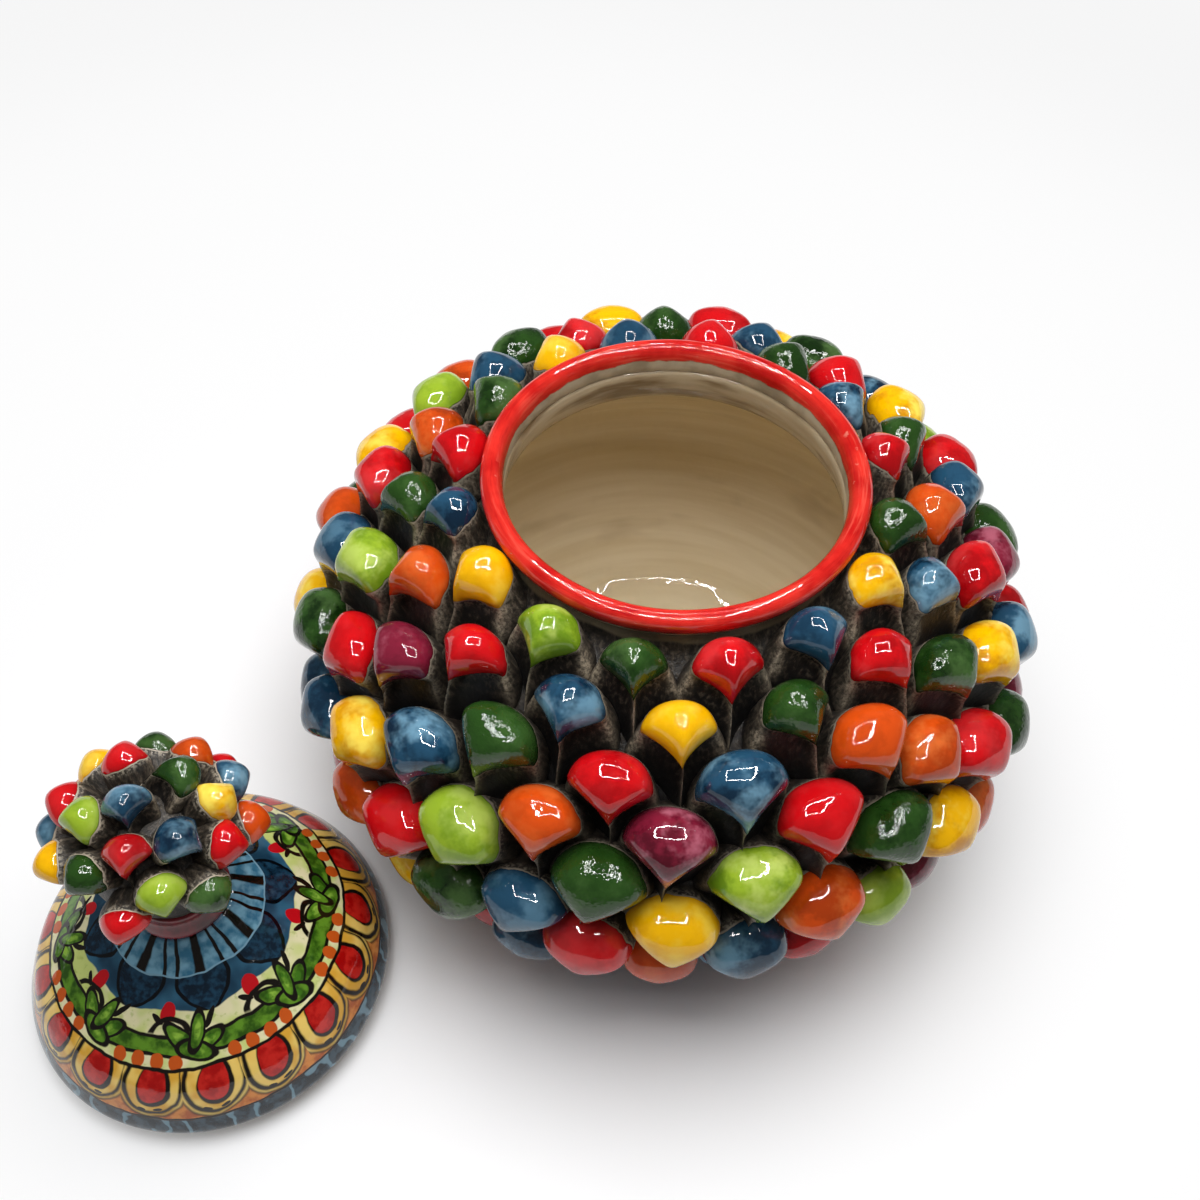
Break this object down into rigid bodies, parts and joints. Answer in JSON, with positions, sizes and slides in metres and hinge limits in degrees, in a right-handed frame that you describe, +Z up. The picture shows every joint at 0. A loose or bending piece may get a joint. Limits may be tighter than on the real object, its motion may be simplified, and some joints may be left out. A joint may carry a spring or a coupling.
{
  "type": "lidded pottery jar",
  "caption": "Round wide-mouthed pottery jar covered in pinched clay scales, with a domed lid and a pine-cone knob beside it.",
  "frame": {"origin": "centre of the jar's flat base, on the surface that it stands on", "axes": "+Z up along the jar's axis; -Y towards the front, where the lid stands to the left of the jar"},
  "size_m": [0.3393, 0.2898, 0.15],
  "materials": {
    "cream_glaze": "glossy cream-grey glaze inside with throwing rings, dark dry-brushed clay outside",
    "scale_clay": "dark satin clay with pale rubbed edges, each scale ending in a glossy coloured glaze",
    "painted_glaze": "glossy hand-painted glaze in rings of petals, leaves and lobes",
    "bare_clay": "unglazed pale clay",
    "dark_red_glaze": "glossy",
    "knob_clay": "grey-brown dry-brushed clay",
    "red_glaze": "glossy",
    "orange_glaze": "glossy, mottled",
    "yellow_glaze": "glossy, with amber patches",
    "lime_glaze": "glossy, streaky",
    "green_glaze": "glossy, pitted",
    "blue_glaze": "glossy, mottled light and dark"
  },
  "bodies": {
    "jar": {"jar_floor": "cream_glaze", "jar_foot_wall": "cream_glaze", "jar_lower_belly": "cream_glaze", "jar_upper_belly": "cream_glaze", "jar_shoulder": "cream_glaze", "rim_collar": "red_glaze", "scale_row_1": "scale_clay", "scale_row_2": "scale_clay", "scale_row_3": "scale_clay", "scale_row_4": "scale_clay", "scale_row_5": "scale_clay", "scale_row_6": "scale_clay", "scale_row_7": "scale_clay", "scale_row_8": "scale_clay", "scale_row_9": "scale_clay"},
    "lid": {"lid_dome": "painted_glaze", "lid_flange": "bare_clay", "knob_collar": "dark_red_glaze", "knob_core": "knob_clay", "knob_scale_01": "blue_glaze", "knob_scale_02": "red_glaze", "knob_scale_03": "blue_glaze", "knob_scale_04": "yellow_glaze", "knob_scale_05": "green_glaze", "knob_scale_06": "red_glaze", "knob_scale_07": "lime_glaze", "knob_scale_08": "green_glaze", "knob_scale_09": "yellow_glaze", "knob_scale_10": "red_glaze", "knob_scale_11": "yellow_glaze", "knob_scale_12": "green_glaze", "knob_scale_13": "orange_glaze", "knob_scale_14": "blue_glaze", "knob_scale_15": "red_glaze", "knob_scale_16": "lime_glaze", "knob_scale_17": "red_glaze", "knob_scale_18": "green_glaze", "knob_scale_19": "orange_glaze", "knob_scale_20": "red_glaze", "knob_scale_21": "yellow_glaze", "knob_scale_22": "lime_glaze", "knob_scale_23": "orange_glaze", "knob_scale_24": "blue_glaze"}
  },
  "joints": [
    {"name": "lid_lift", "type": "slide", "parent": "jar", "child": "lid", "axis": [-0.284, -0.1905, 0.9397], "range_m": [0, 0.19]}
  ]
}
